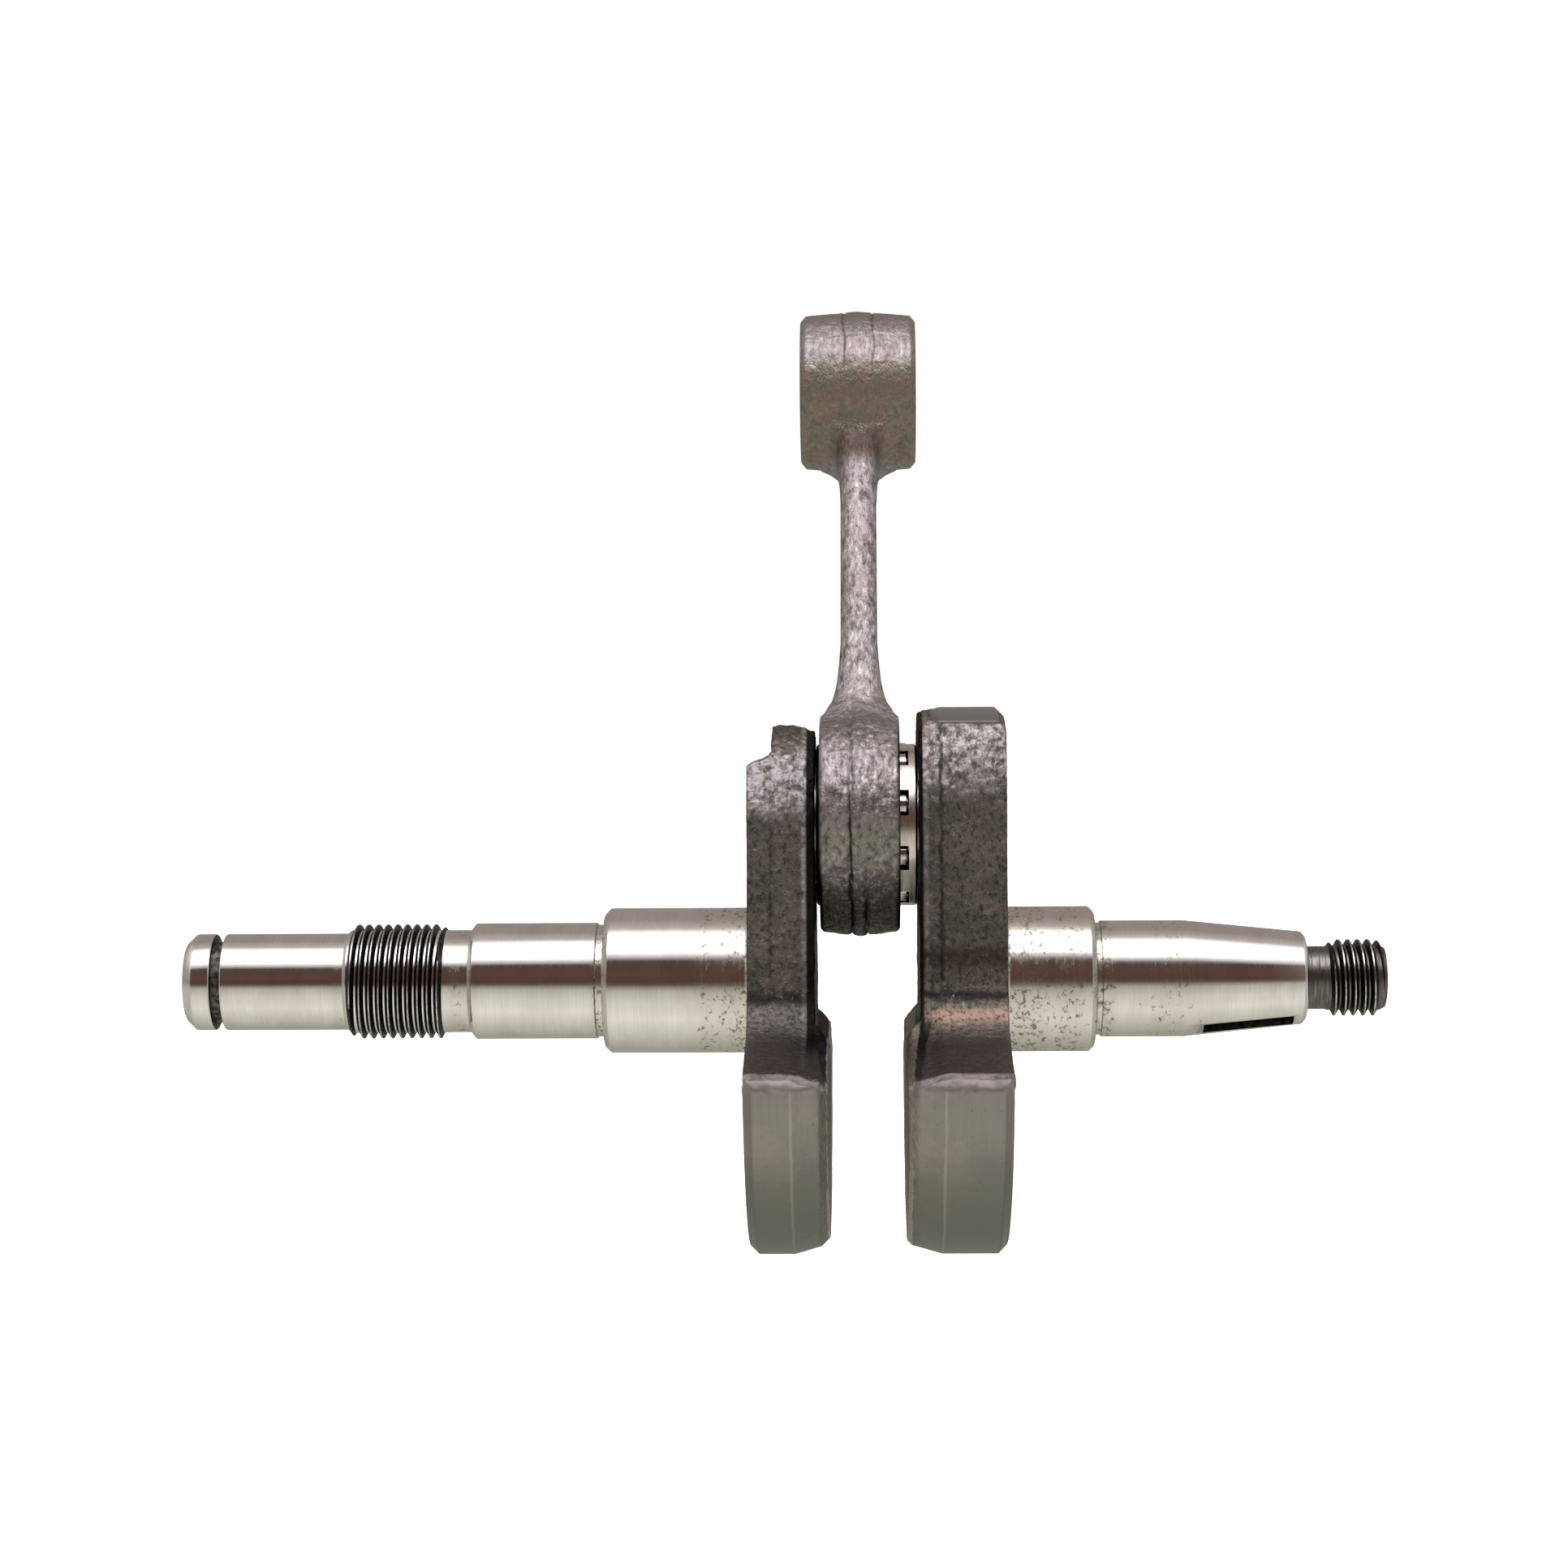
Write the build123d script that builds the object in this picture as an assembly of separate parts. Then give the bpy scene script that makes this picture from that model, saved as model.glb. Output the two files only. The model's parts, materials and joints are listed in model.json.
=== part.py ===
from build123d import *
from math import cos, radians, sin, sqrt
import os

os.makedirs("parts", exist_ok=True)

# Built-up crankshaft of a small single-cylinder two-stroke engine, with its connecting rod.
# Millimetres. The origin is the crank centre: the main axis is X, +X towards the flywheel,
# and +Z towards the crankpin. Distances named "out" are measured along X away from the centre.

# Crank
THROW = 16.0                    # main axis to crankpin axis, half of the 32 mm stroke
WEB_RADIUS = 28.15              # turned outside of both webs
PIN_RADIUS = 6.0                # crankpin, pressed into both webs
MAIN_RADIUS = 7.5               # main bearing journals
ROOT_FILLET = 0.5               # between a main journal and its web
MIDDLE = 9.0                    # where the shaft profile starts, inside the web

# Web, across X (out) and in the YZ plane
PAD_OUT = 3.9                   # inner face of the counterweight
CHEEK_OUT = 5.3                 # inner face beside the big end
PARTING_OUT = 7.5               # forging parting plane; the sides draft in from here
DRAFT = 16.0                    # degrees, inboard of the parting plane
CLUTCH_WEB_OUT = 12.1           # outer face of the clutch-side web
FLYWHEEL_WEB_OUT = 14.1         # outer face of the flywheel-side web
RIM_CHAMFER = 0.9               # outer edge of the turned rim
CHEEK_TOP = 9.4                 # half width of the flywheel-side cheek at the rim
CHEEK_TURN = (10.85, 19.0)      # where its side starts to curve in towards the rim
CHEEK_FOOT = (11.6, -3.8)       # foot of the cheek side, before its fillet
CLUTCH_SHOULDER_FILLET = 5.0    # between the cheek side and the shoulder
FLYWHEEL_SHOULDER_FILLET = 6.5
HORN_HEIGHT = -8.1              # where the shoulder meets the rim
HORN_FILLET = 1.3
TOP_FILLET = 1.7                # between the cheek side and the turned rim
CLUTCH_BEVEL = 0.9              # inner edges of the clutch-side web
FLYWHEEL_BEVEL = 0.5            # inner edges of the flywheel-side web
CLUTCH_RELIEF = (23.2, 24.6)    # ramp of the recess around the big end, from the crankpin axis
FLYWHEEL_RELIEF = (22.6, 24.8)
CLUTCH_CHEEK_RADIUS = 10.3      # round top of the clutch-side cheek, about the crankpin
STEP_OUT = 9.6                  # the clutch-side cheek is lower outboard of this
STEP_HEIGHT = 22.2              # height of that step at the outer face

# Clutch-side shaft
UNDERCUT = (27.1, 27.8, 5.8)    # from, to, radius
SEAL_SEAT_RADIUS = 6.0
SEAL_SEAT_END = 40.8
RELIEF_RADIUS = 5.3
CLUTCH_THREAD_START = 43.5      # M12x1, left hand on the real part, shown as grooves here
CLUTCH_THREAD_TURNS = 10
CLUTCH_THREAD_CREST = 5.93
SPROCKET_SEAT_START = 54.0
SPROCKET_SEAT_RADIUS = 5.0
CLIP_GROOVE = (66.5, 67.6, 4.2)  # from, to, radius
CLUTCH_TIP = 70.5

# Flywheel-side shaft
FLYWHEEL_JOURNAL_END = 23.3
FLYWHEEL_UNDERCUT = (23.5, 23.9, 5.8)
TAPER_START = 32.5
TAPER_END = 45.0
TAPER_SLOPE = 0.1               # 1:5 on the diameter
NECK_RADIUS = 3.25
NUT_THREAD_START = 47.3         # M8x1
NUT_THREAD_TURNS = 5
NUT_THREAD_CREST = 3.95
FLYWHEEL_TIP = 53.2
THREAD_PITCH = 1.0
THREAD_DEPTH = 0.6
CREST_FLAT = 0.16

# Keyway in the taper
KEY_LENGTH, KEY_WIDTH, KEY_DEPTH = 9.4, 2.0, 1.5
KEY_MIDDLE = 38.9
KEY_ANGLE = 152.0               # about X, from +Z through -Y

# Big-end needle bearing
ROLLER_COUNT = 9
ROLLER_RADIUS = 1.24
ROLLER_LENGTH = 8.4
PITCH_RADIUS = 7.26
FIRST_ROLLER = 16.5             # degrees above -Y
CAGE_OUTER, CAGE_INNER = 8.35, 6.75
CAGE_LENGTH = 10.3
WINDOW_LENGTH, WINDOW_WIDTH = 8.6, 2.7

# Connecting rod, drawn upright about the crankpin axis and then leaned back
ROD_LENGTH = 55.0
ROD_LEAN = 29.5                 # degrees from +Z towards +Y
ROD_MIDDLE = -0.7               # it has slid towards the clutch side
BIG_HALF, SMALL_HALF = 4.1, 6.35
BIG_BORE, SMALL_BORE = 8.52, 7.0
BIG_RADIUS, BIG_EDGE = 11.55, 11.0  # in the middle of the eye and at its faces
SMALL_RADIUS, SMALL_EDGE = 9.0, 8.4
BIG_CORNER, SMALL_CORNER = 0.3, 0.6
BLADE_DRAFT = 7.5               # degrees, from the middle of the blade outwards
SHANK_HALF = 1.925              # half thickness of the blade
SHANK_WIDE, SHANK_NARROW = 6.0, 4.9  # half width of the blade beside the big and small eyes
BIG_GUSSET, SMALL_GUSSET = 9.0, 5.0  # fillets between the blade and the eyes
EYE_SINK = 0.02                 # how far the blade's outline stays inside the eyes
# Half thickness against distance from an eye's axis, where the eyes blend into the blade
FLARE = [(4.05, 11.2), (3.6, 11.6), (3.16, 12.4), (2.84, 13.2), (2.59, 14.1), (2.38, 15.0)]
FLARE += [(2.2, 16.4), (2.05, 18.2), (1.9, 20.2)]
COLLAR = [(4.6, 8.5), (3.4, 9.1), (2.68, 9.55), (2.36, 10.0), (2.18, 10.6), (2.06, 11.6), (1.9, 13.8)]
BORE_CHAMFER = 0.4


def web_plane(x, outward):
    """A plane across X whose local x is along Y and local y along Z."""
    return Plane(origin=(x, 0, 0), x_dir=(0, outward, 0), z_dir=(outward, 0, 0))


def on_circle(radius, height):
    """The point of a circle about the origin at this height, on the positive side."""
    return (sqrt(radius**2 - height**2), height)


def web_outline(side):
    """The web seen along X: a cheek above the main axis and a counterweight below it."""
    foot_y, foot_z = CHEEK_FOOT
    turn_y, turn_z = CHEEK_TURN
    horn = on_circle(WEB_RADIUS, HORN_HEIGHT)
    low = on_circle(WEB_RADIUS, -20.0)
    if side > 0:
        corner = (CHEEK_TOP, sqrt(WEB_RADIUS**2 - CHEEK_TOP**2))
        top = WEB_RADIUS
    else:
        corner = (CLUTCH_CHEEK_RADIUS, THROW)
        top = THROW + CLUTCH_CHEEK_RADIUS
    with BuildLine() as line:
        ThreePointArc((-corner[0], corner[1]), (0, top), corner)
        for sign in (1, -1):
            foot = (sign * foot_y, foot_z)
            if side > 0:
                bend = (sign * turn_y, turn_z)
                along = (sign * (turn_y - foot_y), turn_z - foot_z)
                TangentArc(bend, (sign * corner[0], corner[1]), tangent=along)
                Line(bend, foot)
            else:
                Line((sign * corner[0], corner[1]), foot)
            Line(foot, (sign * horn[0], horn[1]))
            ThreePointArc((sign * horn[0], horn[1]), (sign * low[0], low[1]), (0, -WEB_RADIUS))
    face = make_face(line.edges())
    shoulder = FLYWHEEL_SHOULDER_FILLET if side > 0 else CLUTCH_SHOULDER_FILLET
    face = fillet([v for v in face.vertices() if abs(v.Y - foot_z) < 0.01], shoulder)
    face = fillet([v for v in face.vertices() if abs(v.Y - HORN_HEIGHT) < 0.01], HORN_FILLET)
    if side > 0:
        face = fillet([v for v in face.vertices() if abs(v.Y - corner[1]) < 0.01], TOP_FILLET)
    return face


def inner_prism(side, outline, out, bevel):
    """The drafted part of a web between the parting plane and a bevelled inner face."""
    depth = PARTING_OUT - out - bevel
    prism = extrude(web_plane(side * PARTING_OUT, -side) * outline, depth, taper=DRAFT)
    inner_face = prism.faces().sort_by(Axis.X)[0 if side > 0 else -1]
    return prism + extrude(inner_face, bevel, dir=(-side, 0, 0), taper=45)


def web(side, outer):
    """One forged web: straight outboard of the parting plane and drafted inboard of it."""
    outline = web_outline(side)
    outboard = extrude(web_plane(side * PARTING_OUT, side) * outline, amount=outer - PARTING_OUT)
    rim = Polyline(
        (side * PARTING_OUT, 0), (side * PARTING_OUT, WEB_RADIUS + 1),
        (side * (outer - RIM_CHAMFER - 1), WEB_RADIUS + 1), (side * outer, WEB_RADIUS - RIM_CHAMFER),
        (side * outer, 0), close=True,
    )
    outboard &= revolve(Plane.XZ * make_face(rim), Axis.X)
    bevel = FLYWHEEL_BEVEL if side > 0 else CLUTCH_BEVEL
    pad = inner_prism(side, outline, PAD_OUT, bevel) - cheek_relief(side)
    body = outboard + inner_prism(side, outline, CHEEK_OUT, bevel) + pad
    if side < 0:
        body -= cheek_step()
    return body


def cheek_relief(side):
    """The recess around the big end, with the ramp that the forging leaves at its edge."""
    inner, outer = FLYWHEEL_RELIEF if side > 0 else CLUTCH_RELIEF
    profile = Polyline(
        (side * CHEEK_OUT, 0), (side * CHEEK_OUT, inner), (side * PAD_OUT, outer),
        (0, outer), (0, 0), close=True,
    )
    cone = revolve(Plane.XZ * make_face(profile), Axis.X)
    top = Pos(side * CHEEK_OUT / 2, 0, THROW + 20) * Box(CHEEK_OUT, 80, 40)
    return Pos(0, 0, THROW) * cone + top


def cheek_step():
    """The low outboard part of the clutch-side cheek."""
    profile = Polyline(
        (-CLUTCH_WEB_OUT - 1, STEP_HEIGHT), (-CLUTCH_WEB_OUT, STEP_HEIGHT),
        (-STEP_OUT - 0.4, STEP_HEIGHT + 0.8), (-STEP_OUT, STEP_HEIGHT + 1.3),
        (-STEP_OUT, WEB_RADIUS + 2), (-CLUTCH_WEB_OUT - 1, WEB_RADIUS + 2), close=True,
    )
    return extrude(Plane.XZ * make_face(profile), amount=WEB_RADIUS, both=True)


def thread(start, turns, crest):
    """Profile points of a thread, drawn as one V groove for each turn."""
    points = []
    for turn in range(turns):
        middle = start + (turn + 0.5) * THREAD_PITCH
        points += [(middle - THREAD_PITCH / 2, crest - THREAD_DEPTH)]
        points += [(middle - CREST_FLAT / 2, crest), (middle + CREST_FLAT / 2, crest)]
    return points + [(start + turns * THREAD_PITCH, crest - THREAD_DEPTH)]


def centre_hole(tip, radius):
    """Profile points of the turner's centre in a shaft end."""
    pilot = radius / 2
    depth = (radius - pilot) * sqrt(3)
    return [(tip, radius), (tip - depth, pilot), (tip - depth - 2.2, pilot), (tip - depth - 2.6, 0)]


def shaft(side, web_out, points):
    """A turned shaft: a main journal with a root fillet, then the given (out, radius) points."""
    root = [(MIDDLE, 0), (MIDDLE, MAIN_RADIUS + ROOT_FILLET), (web_out, MAIN_RADIUS + ROOT_FILLET)]
    journal = (web_out + ROOT_FILLET, MAIN_RADIUS)
    bend = ROOT_FILLET * (1 - sqrt(0.5))
    flip = lambda run: [(side * x, r) for x, r in run]
    with BuildLine() as line:
        Polyline(*flip(root))
        ThreePointArc(*flip([root[-1], (web_out + bend, MAIN_RADIUS + bend), journal]))
        Polyline(*flip([journal] + points + [root[0]]))
    return revolve(Plane.XZ * make_face(line.edges()), Axis.X)


def clutch_shaft():
    seat = SEAL_SEAT_RADIUS
    groove_start, groove_end, groove_radius = CLIP_GROOVE
    points = [(UNDERCUT[0] - 0.75, MAIN_RADIUS), (UNDERCUT[0], MAIN_RADIUS - 0.75)]
    points += [(UNDERCUT[0], UNDERCUT[2]), (UNDERCUT[1], UNDERCUT[2]), (UNDERCUT[1] + 0.15, seat)]
    points += [(SEAL_SEAT_END - 0.4, seat), (SEAL_SEAT_END, seat - 0.4)]
    points += [(SEAL_SEAT_END + 0.2, RELIEF_RADIUS), (CLUTCH_THREAD_START - 0.1, RELIEF_RADIUS)]
    points += thread(CLUTCH_THREAD_START, CLUTCH_THREAD_TURNS, CLUTCH_THREAD_CREST)
    points += [(SPROCKET_SEAT_START, SPROCKET_SEAT_RADIUS), (groove_start, SPROCKET_SEAT_RADIUS)]
    points += [(groove_start, groove_radius), (groove_end, groove_radius)]
    points += [(groove_end, SPROCKET_SEAT_RADIUS), (CLUTCH_TIP - 1.0, SPROCKET_SEAT_RADIUS)]
    points += [(CLUTCH_TIP, SPROCKET_SEAT_RADIUS - 1.0)] + centre_hole(CLUTCH_TIP, 1.6)
    return shaft(-1, CLUTCH_WEB_OUT, points)


def flywheel_shaft():
    seat = SEAL_SEAT_RADIUS
    taper_tip = seat - TAPER_SLOPE * (TAPER_END - TAPER_START)
    start, end, radius = FLYWHEEL_UNDERCUT
    points = [(FLYWHEEL_JOURNAL_END - 0.6, MAIN_RADIUS), (FLYWHEEL_JOURNAL_END, MAIN_RADIUS - 0.6)]
    points += [(start, radius), (end, radius), (end + 0.1, seat), (TAPER_START, seat)]
    points += [(TAPER_END - 0.4, taper_tip + 0.4 * TAPER_SLOPE), (TAPER_END, taper_tip - 0.4)]
    points += [(TAPER_END, NECK_RADIUS), (NUT_THREAD_START - 0.1, NECK_RADIUS)]
    points += thread(NUT_THREAD_START, NUT_THREAD_TURNS, NUT_THREAD_CREST)
    points += [(FLYWHEEL_TIP - 0.55, NUT_THREAD_CREST - 0.25), (FLYWHEEL_TIP, NUT_THREAD_CREST - 0.8)]
    points += centre_hole(FLYWHEEL_TIP, 1.25)
    return shaft(1, FLYWHEEL_WEB_OUT, points) - keyway()


def keyway():
    """A straight slot whose floor runs parallel to the taper."""
    surface = SEAL_SEAT_RADIUS - TAPER_SLOPE * (KEY_MIDDLE - TAPER_START)
    slot = Box(KEY_LENGTH, KEY_WIDTH, 4, align=(Align.CENTER, Align.CENTER, Align.MIN))
    slot = Pos(KEY_MIDDLE, 0, surface - KEY_DEPTH) * Rot(0, 5.71, 0) * slot
    return Rot(KEY_ANGLE, 0, 0) * slot


def pin_bore(side, outer):
    """The bore that the crankpin is pressed into, with a chamfer at the outer face."""
    profile = Polyline(
        (0, 0), (0, PIN_RADIUS), (side * (outer - BORE_CHAMFER), PIN_RADIUS),
        (side * outer, PIN_RADIUS + BORE_CHAMFER), (side * (outer + 1), PIN_RADIUS + BORE_CHAMFER),
        (side * (outer + 1), 0), close=True,
    )
    return Pos(0, 0, THROW) * revolve(Plane.XZ * make_face(profile), Axis.X)


def crank_half(side):
    outer = FLYWHEEL_WEB_OUT if side > 0 else CLUTCH_WEB_OUT
    turned = flywheel_shaft() if side > 0 else clutch_shaft()
    return web(side, outer) + turned - pin_bore(side, outer)


def crankpin():
    length = CLUTCH_WEB_OUT + FLYWHEEL_WEB_OUT - 0.4
    pin = Rot(0, 90, 0) * Cylinder(PIN_RADIUS, length)
    pin = chamfer(pin.edges().filter_by(GeomType.CIRCLE), 0.5)
    return Pos((FLYWHEEL_WEB_OUT - CLUTCH_WEB_OUT) / 2, 0, THROW) * pin


def roller_angles():
    return [FIRST_ROLLER + 360 / ROLLER_COUNT * index for index in range(ROLLER_COUNT)]


def needle_cage():
    """A thin ring with a window for each roller."""
    ring = Cylinder(CAGE_OUTER, CAGE_LENGTH) - Cylinder(CAGE_INNER, CAGE_LENGTH)
    ring = Rot(0, 90, 0) * chamfer(ring.edges().filter_by(GeomType.CIRCLE), 0.2)
    window = Pos(0, -PITCH_RADIUS, 0) * Box(WINDOW_LENGTH, 4, WINDOW_WIDTH)
    for angle in roller_angles():
        ring -= Rot(-angle, 0, 0) * window
    return Pos(0, 0, THROW) * ring


def needle_roller(angle):
    roller = Rot(0, 90, 0) * Cylinder(ROLLER_RADIUS, ROLLER_LENGTH)
    roller = chamfer(roller.edges().filter_by(GeomType.CIRCLE), 0.2)
    y = -PITCH_RADIUS * cos(radians(angle))
    z = THROW + PITCH_RADIUS * sin(radians(angle))
    return Pos(0, y, z) * roller


def barrel(half, middle, edge, bore, corner):
    """An eye of the rod: its radius falls from the middle to both faces, with the bore through it."""
    profile = [(0, bore), (half - BORE_CHAMFER, bore), (half, bore + BORE_CHAMFER)]
    profile += [(half, edge - corner), (half - corner, edge + corner * 0.2), (0, middle)]
    mirrored = [(-x, r) for x, r in reversed(profile[1:-1])]
    return revolve(Plane.XZ * make_face(Polyline(*(profile + mirrored), close=True)), Axis.X)


def gusset(eye_radius, eye_height, half_width, radius, toward):
    """Eye, middle and blade points of the fillet arc between an eye and the blade."""
    eye = eye_radius - EYE_SINK
    centre = Vector(half_width + radius, toward * sqrt((eye + radius) ** 2 - (half_width + radius) ** 2))
    on_eye = centre * (eye / (eye + radius))
    on_blade = Vector(half_width, centre.Y)
    middle = centre + ((on_eye - centre) + (on_blade - centre)).normalized() * radius
    return [(point.X, eye_height + point.Y) for point in (on_eye, middle, on_blade)]


def both_sides(run):
    """The same points on the positive and the negative side."""
    return run, [(-across, along) for across, along in run]


def shank():
    """The blade between the eyes: its face outline crossed with its edge outline."""
    big = gusset(BIG_RADIUS, 0, SHANK_WIDE, BIG_GUSSET, 1)
    small = gusset(SMALL_RADIUS, ROD_LENGTH, SHANK_NARROW, SMALL_GUSSET, -1)
    with BuildLine() as line:
        for near_big, near_small in zip(both_sides(big), both_sides(small)):
            ThreePointArc(*near_big)
            Line(near_big[-1], near_small[-1])
            ThreePointArc(*near_small)
        Line((-big[0][0], big[0][1]), big[0])
        Line((-small[0][0], small[0][1]), small[0])
    outline = make_face(line.edges())
    halves = [
        extrude(web_plane(0, sign) * outline, BIG_HALF, taper=BLADE_DRAFT) for sign in (1, -1)
    ]
    blade = Pos(0, 0, ROD_LENGTH / 2) * Box(2 * SHANK_HALF, 60, ROD_LENGTH + 30)
    collar = Pos(0, 0, ROD_LENGTH) * eye_fillet(COLLAR)
    return (halves[0] + halves[1]) & (blade + eye_fillet(FLARE) + collar)


def eye_fillet(points):
    """A ring about an eye's axis, concave where it thins down to the blade's thickness."""
    with BuildLine() as line:
        for sign in (1, -1):
            Line((0, 0), (sign * points[0][0], 0))
            Line((sign * points[0][0], 0), (sign * points[0][0], points[0][1]))
            Spline(*[(sign * half, radius) for half, radius in points])
        Line((points[-1][0], points[-1][1]), (-points[-1][0], points[-1][1]))
    return revolve(Plane.XZ * make_face(line.edges()), Axis.X)


def connecting_rod():
    big = barrel(BIG_HALF, BIG_RADIUS, BIG_EDGE, BIG_BORE, BIG_CORNER)
    small = barrel(SMALL_HALF, SMALL_RADIUS, SMALL_EDGE, SMALL_BORE, SMALL_CORNER)
    small = Pos(0, 0, ROD_LENGTH) * small
    bores = Rot(0, 90, 0) * Cylinder(BIG_BORE, 30)
    bores += Pos(0, 0, ROD_LENGTH) * Rot(0, 90, 0) * Cylinder(SMALL_BORE, 30)
    rod = (shank() - bores) + big + small
    return Pos(ROD_MIDDLE, 0, THROW) * Rot(-ROD_LEAN, 0, 0) * rod


nodes = {
    "clutch_side_crank_half": crank_half(-1),
    "flywheel_side_crank_half": crank_half(1),
    "crankpin": crankpin(),
    "connecting_rod": connecting_rod(),
    "big_end_needle_cage": needle_cage(),
}
for number, angle in enumerate(roller_angles(), start=1):
    nodes[f"needle_roller_{number}"] = needle_roller(angle)

for name, node in nodes.items():
    export_step(node, f"parts/{name}.step")
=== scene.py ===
import json
from math import cos, exp, hypot, pi, radians, sin, sqrt

import bmesh
import bpy
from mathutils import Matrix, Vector, noise


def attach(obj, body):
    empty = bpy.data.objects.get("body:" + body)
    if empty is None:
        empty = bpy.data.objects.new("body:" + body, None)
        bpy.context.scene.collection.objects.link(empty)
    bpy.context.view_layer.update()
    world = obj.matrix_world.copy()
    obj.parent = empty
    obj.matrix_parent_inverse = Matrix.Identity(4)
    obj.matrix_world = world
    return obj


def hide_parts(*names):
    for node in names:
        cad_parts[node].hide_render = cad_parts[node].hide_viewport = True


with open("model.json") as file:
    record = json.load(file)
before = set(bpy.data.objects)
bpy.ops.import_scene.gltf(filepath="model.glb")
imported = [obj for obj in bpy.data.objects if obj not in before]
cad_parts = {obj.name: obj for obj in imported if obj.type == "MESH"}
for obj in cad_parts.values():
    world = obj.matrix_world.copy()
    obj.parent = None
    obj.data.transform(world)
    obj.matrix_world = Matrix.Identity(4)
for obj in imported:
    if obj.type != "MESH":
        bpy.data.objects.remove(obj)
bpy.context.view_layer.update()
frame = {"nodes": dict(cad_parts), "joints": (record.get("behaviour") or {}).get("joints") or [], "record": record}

# Lengths below are in millimetres, in the frame of the CAD model, and become metres in the meshes.
# "out" is the distance from the crank centre along X, and side is -1 for clutch, +1 for flywheel.
MM = 0.001
PIN_HEIGHT = frame["joints"][0]["pos_m"][2] / MM
MOUNTS = {m["name"]: m for m in frame["record"]["mounts"]}
SMALL_END = Vector(MOUNTS["small_end_bore"]["pos_m"]) / MM
PIN_CENTRE = Vector((SMALL_END.x, 0, PIN_HEIGHT))
ROD_AXIS = (SMALL_END - PIN_CENTRE).normalized()
ROD_SIDE = Vector((0, ROD_AXIS.z, -ROD_AXIS.y))
ROD_LENGTH = (SMALL_END - PIN_CENTRE).length


def round_radius(mount):
    return MOUNTS[mount]["dims"]["r_mm"]


# Sizes of the crank
MAIN_RADIUS = round_radius("clutch_side_main_journal")
SEAT_RADIUS = round_radius("clutch_side_seal_seat")
SPROCKET_RADIUS = round_radius("sprocket_bearing_seat")
WEB_OUT = {-1: 12.1, 1: 14.1}
WEB_RADIUS = 28.15
ROOT_FILLET = 0.5
SHAFT_SIDES = 192
TAPER_START, TAPER_END, TAPER_SLOPE = 32.5, 45.0, 0.1
KEY_LENGTH, KEY_WIDTH, KEY_DEPTH = 9.4, 2.0, 1.5
KEY_MIDDLE = MOUNTS["flywheel_keyway"]["pos_m"][0] / MM
KEY_DIRECTION = Vector((0, -cos(radians(62)), -sin(radians(62))))
RING_GROOVE = (66.5, 67.6)
NECK_RADIUS = 3.25
THREAD_PITCH, THREAD_DEPTH = 1.0, 0.6
THREAD_STEPS = 96  # per turn
THREAD_FADE = 0.45  # turns at each end
CLUTCH_THREAD = {"start": 43.5, "turns": 10, "crest": 5.93, "hand": -1}
NUT_THREAD = {"start": 47.3, "turns": 5.6, "crest": 3.95, "hand": 1}

# Places on the webs
PARTING_OUT = 7.5
INNER_EDGE = {-1: 6.2, 1: 5.8}
HORN_HEIGHT = -8.3
TURNED_FACE_RADIUS = 8.2  # the outer face is turned smooth about the journal

# Places on the rod, as distances from the axes of its two eyes, or along X from its middle plane
BIG_BORE_FACES, SMALL_BORE_FACES = 8.6, 7.1
BIG_BORE_LAND, SMALL_BORE_LAND = 8.75, 7.25
BIG_EYE_REACH, SMALL_EYE_REACH = (13.4, 11.9), (10.6, 9.4)
LEFT_CREASE, RIGHT_CREASE = -0.95, 0.75
SMALL_END_CREASE = 1.55

VOXEL = 0.2  # size of the faces of the forged pieces


# ---------------------------------------------------------------- meshes


def make_piece(name, vertices, faces, smooth_angle=30.0):
    """A mesh object from millimetre vertices, smooth except across sharp edges."""
    mesh = bpy.data.meshes.new(name)
    mesh.from_pydata([Vector(v) * MM for v in vertices], [], faces)
    mesh.update()
    body = bmesh.new()
    body.from_mesh(mesh)
    bmesh.ops.remove_doubles(body, verts=body.verts, dist=1e-8)
    bmesh.ops.recalc_face_normals(body, faces=body.faces)
    body.to_mesh(mesh)
    body.free()
    return link_piece(name, mesh, smooth_angle)


def link_piece(name, mesh, smooth_angle):
    """Puts a mesh in the scene, smooth except across edges sharper than the angle."""
    mesh.shade_smooth()
    mesh.set_sharp_from_angle(angle=radians(smooth_angle))
    piece = bpy.data.objects.new(name, mesh)
    bpy.context.scene.collection.objects.link(piece)
    return piece


def finish_piece(piece, body, node, slot, *materials):
    """Gives a piece its materials and the body it rides on, and hides the CAD node it stands for."""
    piece.data.materials.clear()
    for material in materials:
        piece.data.materials.append(material)
    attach(piece, body)
    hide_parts(node)


def apply_modifiers(piece):
    """Replaces the piece's mesh by its evaluated mesh."""
    graph = bpy.context.evaluated_depsgraph_get()
    mesh = bpy.data.meshes.new_from_object(piece.evaluated_get(graph))
    piece.modifiers.clear()
    piece.data = mesh


def rings_to_faces(count, sides):
    """Quads between consecutive rings of vertices."""
    faces = []
    for ring in range(count - 1):
        below, above = ring * sides, (ring + 1) * sides
        for k in range(sides):
            after = (k + 1) % sides
            faces.append((below + k, below + after, above + after, above + k))
    return faces


def lathe(side, stations):
    """Vertices and faces of a shape turned about X from (out, radius) stations."""
    vertices = []
    for out, radius in stations:
        for k in range(SHAFT_SIDES):
            angle = 2 * pi * k / SHAFT_SIDES
            vertices.append((side * out, radius * cos(angle), radius * sin(angle)))
    return vertices, rings_to_faces(len(stations), SHAFT_SIDES)


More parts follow.
